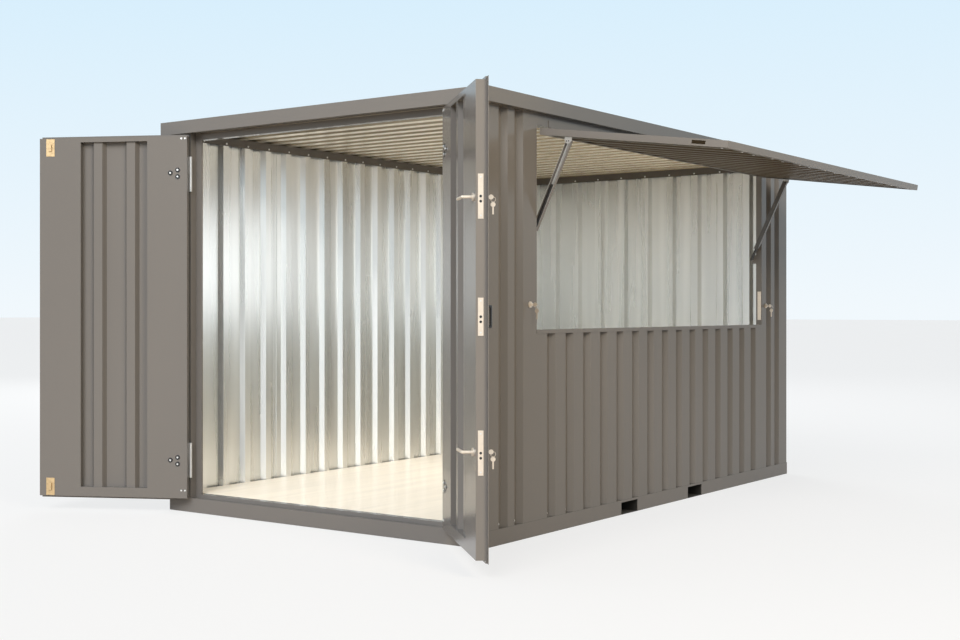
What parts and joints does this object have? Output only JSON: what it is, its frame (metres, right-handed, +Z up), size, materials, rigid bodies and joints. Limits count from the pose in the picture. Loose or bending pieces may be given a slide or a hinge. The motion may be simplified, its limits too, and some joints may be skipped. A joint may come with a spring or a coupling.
{
  "type": "flat-pack kiosk",
  "caption": "Grey sheet-steel kiosk cabin with double doors in one end and a top-hung serving hatch in one long side, on a base frame with forklift pockets",
  "frame": {"origin": "centre of the base frame's footprint, on the ground, under the middle floor joist", "axes": "+X along the cabin away from the door end, -Y is the hatch side, +Z up"},
  "size_m": [4.7905, 3.7671, 2.26],
  "materials": {
    "paint": "gloss grey paint on sheet steel",
    "dark_paint": "dark grey paint",
    "galvanised": "bright galvanised sheet",
    "timber": "pale sealed boards",
    "lock_metal": "satin, pale brass",
    "cylinder_black": "black gloss coat",
    "bright_steel": "zinc-plated steel"
  },
  "bodies": {
    "kiosk": {"base_side_rails": "paint", "base_end_rails": "paint", "fork_channels": "dark_paint", "floor_joists": "dark_paint", "floor_panel": "timber", "door_posts": "paint", "far_posts": "paint", "back_wall": "paint", "far_end_wall": "paint", "hatch_side_near_panel": "paint", "hatch_side_far_panel": "paint", "hatch_side_lower_panel": "paint", "hatch_sill": "paint", "hatch_jambs": "paint", "hatch_header": "paint", "door_header": "paint", "door_threshold": "paint", "eaves_angles": "dark_paint", "roof_side_fascias": "paint", "roof_end_fascias": "paint", "roof_sheet": "galvanised", "door_hinge_pins": "bright_steel", "flap_hinge_pins": "paint", "strut_studs": "bright_steel", "hatch_locks": "lock_metal"},
    "left_door": {"left_leaf_skin": "paint", "left_leaf_stiles": "paint", "left_leaf_rails": "paint", "left_leaf_hinges": "bright_steel", "left_leaf_bolts": "lock_metal"},
    "right_door": {"right_leaf_skin": "paint", "right_leaf_stiles": "paint", "right_leaf_rails": "paint", "right_leaf_hinges": "bright_steel", "right_leaf_locks": "lock_metal", "right_pull_handle": "cylinder_black"},
    "upper_handle": {"upper_lever": "lock_metal"},
    "lower_handle": {"lower_lever": "lock_metal"},
    "flap": {"flap_sheet": "paint", "flap_frame": "paint", "flap_hinges": "paint", "flap_brackets": "bright_steel"},
    "near_rod": {"near_strut_rod": "paint"},
    "near_cylinder": {"near_strut_cylinder": "cylinder_black"},
    "far_rod": {"far_strut_rod": "paint"},
    "far_cylinder": {"far_strut_cylinder": "cylinder_black"}
  },
  "joints": [
    {"name": "left_door_swing", "type": "hinge", "parent": "kiosk", "child": "left_door", "pos_m": [-2.034, 0.897, 1.125], "axis": [0, 0, -1], "range_deg": [-150, 20]},
    {"name": "right_door_swing", "type": "hinge", "parent": "kiosk", "child": "right_door", "pos_m": [-2.034, -0.897, 1.125], "axis": [0, 0, 1], "range_deg": [-133, 37]},
    {"name": "upper_handle_turn", "type": "hinge", "parent": "right_door", "child": "upper_handle", "pos_m": [-2.68624, -1.44096, 1.66], "axis": [-0.682, 0.7314, 0], "range_deg": [0, 40], "stiffness_Nm_per_rad": 1.5, "springref_deg": -25.78},
    {"name": "lower_handle_turn", "type": "hinge", "parent": "right_door", "child": "lower_handle", "pos_m": [-2.68624, -1.44096, 0.55], "axis": [-0.682, 0.7314, 0], "range_deg": [0, 40], "stiffness_Nm_per_rad": 1.5, "springref_deg": -25.78},
    {"name": "flap_swing", "type": "hinge", "parent": "kiosk", "child": "flap", "pos_m": [0.027, -1.081, 2.119], "axis": [-1, 0, 0], "range_deg": [-82, 0]},
    {"name": "near_rod_turn", "type": "hinge", "parent": "flap", "child": "near_rod", "pos_m": [-1.475, -1.24525, 2.03028], "axis": [-1, 0, 0], "range_deg": [0, 106.2]},
    {"name": "near_cylinder_slide", "type": "slide", "parent": "near_rod", "child": "near_cylinder", "axis": [0, -0.4109, 0.9117], "range_m": [0, 0.1367]},
    {"name": "far_rod_turn", "type": "hinge", "parent": "flap", "child": "far_rod", "pos_m": [1.529, -1.24525, 2.03028], "axis": [-1, 0, 0], "range_deg": [0, 106.2]},
    {"name": "far_cylinder_slide", "type": "slide", "parent": "far_rod", "child": "far_cylinder", "axis": [0, -0.4109, 0.9117], "range_m": [0, 0.1367]}
  ],
  "couplings": [
    {"joint": "near_rod_turn", "follows": "flap_swing", "ratio": -1.291},
    {"joint": "near_cylinder_slide", "follows": "flap_swing", "m_per_rad": -0.09516},
    {"joint": "far_rod_turn", "follows": "flap_swing", "ratio": -1.291},
    {"joint": "far_cylinder_slide", "follows": "flap_swing", "m_per_rad": -0.09516}
  ]
}
